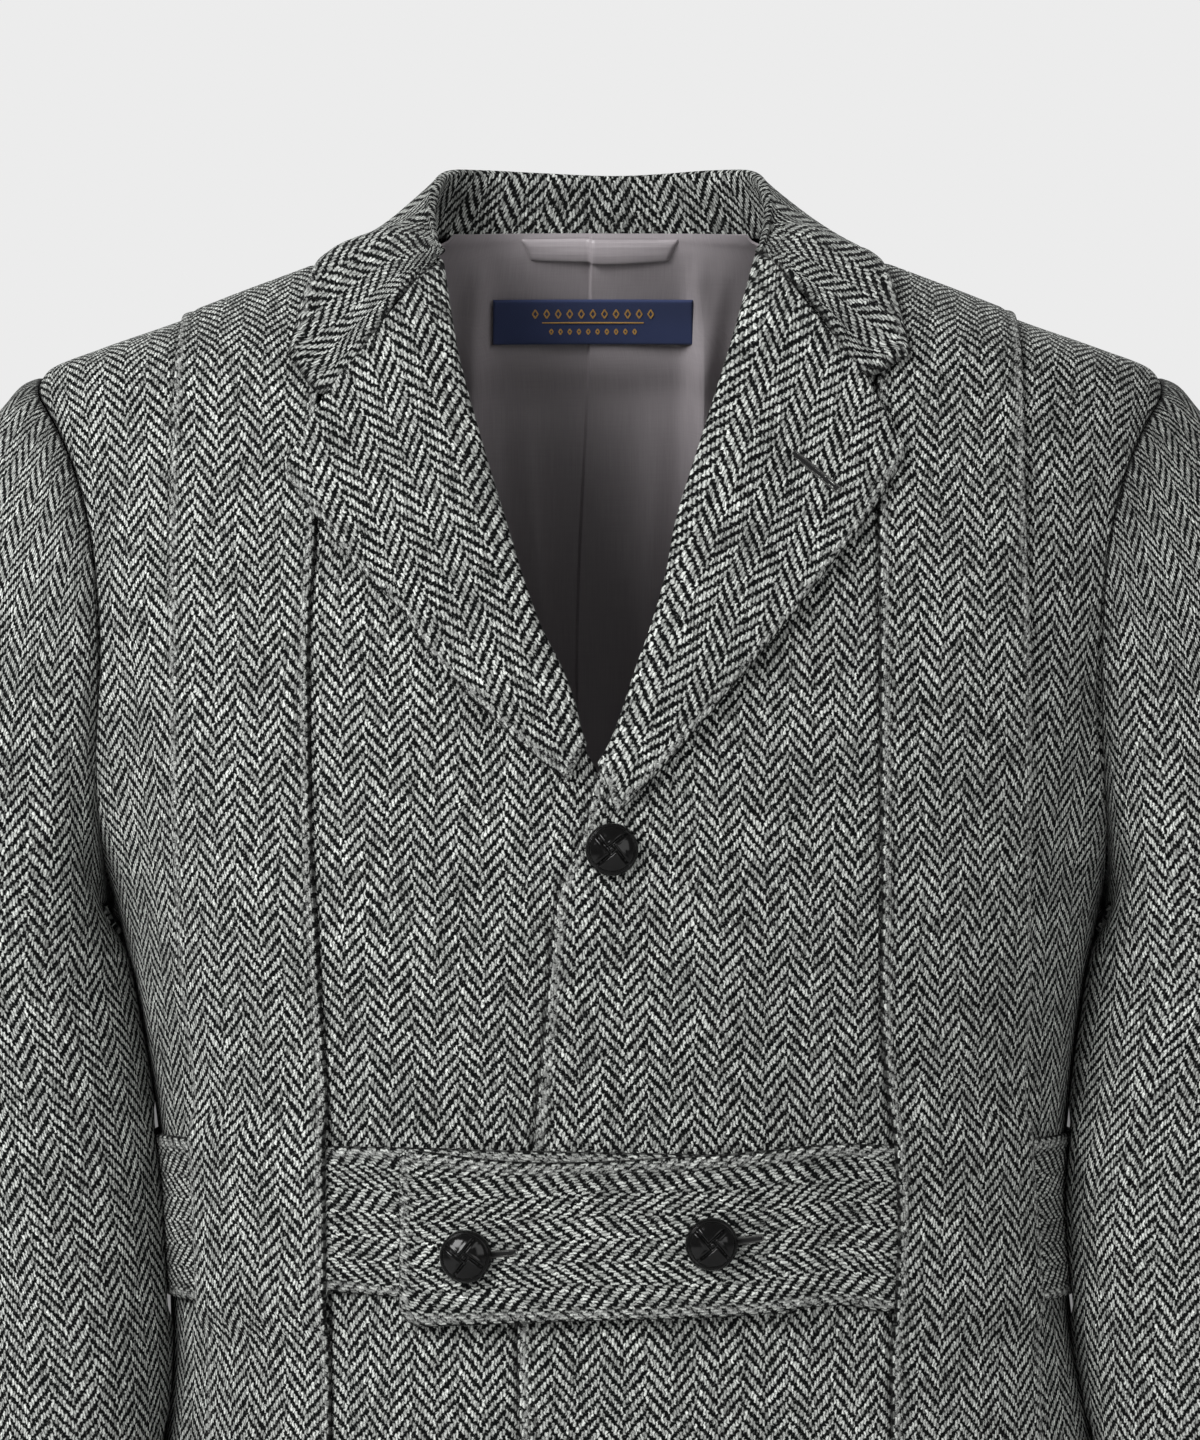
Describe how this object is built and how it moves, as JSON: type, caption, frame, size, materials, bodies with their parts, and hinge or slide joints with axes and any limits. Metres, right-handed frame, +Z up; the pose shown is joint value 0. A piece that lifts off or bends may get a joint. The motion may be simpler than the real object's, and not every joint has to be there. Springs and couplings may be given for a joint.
{
  "type": "norfolk jacket",
  "caption": "Belted norfolk jacket in grey herringbone tweed, with stitched vertical straps, notched lapels and woven-leather buttons, filled out as if worn.",
  "frame": {"origin": "where the wearer's shoulders hold the jacket: midway between them, at the height of the neck", "axes": "+Z up, -Y out of the front, +X towards the wearer's left"},
  "size_m": [0.6015, 0.2638, 0.7723],
  "materials": {
    "tweed": "matt herringbone wool tweed, light grey and near black",
    "lining": "satin, grey with a mauve cast",
    "label": "woven navy label, unlettered",
    "leather": "woven black leather, polished"
  },
  "bodies": {
    "root": {"front_left": "tweed", "front_right": "tweed", "back_left": "tweed", "back_right": "tweed", "strap_front_left": "tweed", "strap_front_right": "tweed", "strap_back_left": "tweed", "strap_back_right": "tweed", "belt_left": "tweed", "belt_right": "tweed", "lapel_left": "tweed", "lapel_right": "tweed", "collar": "tweed", "sleeve_top_left": "tweed", "sleeve_top_right": "tweed", "sleeve_under_left": "tweed", "sleeve_under_right": "tweed", "pocket_left": "tweed", "pocket_right": "tweed", "lining_back": "lining", "hanger_loop": "lining", "neck_label": "label", "button_front": "leather", "button_belt_outer": "leather", "button_belt_inner": "leather"}
  },
  "joints": []
}
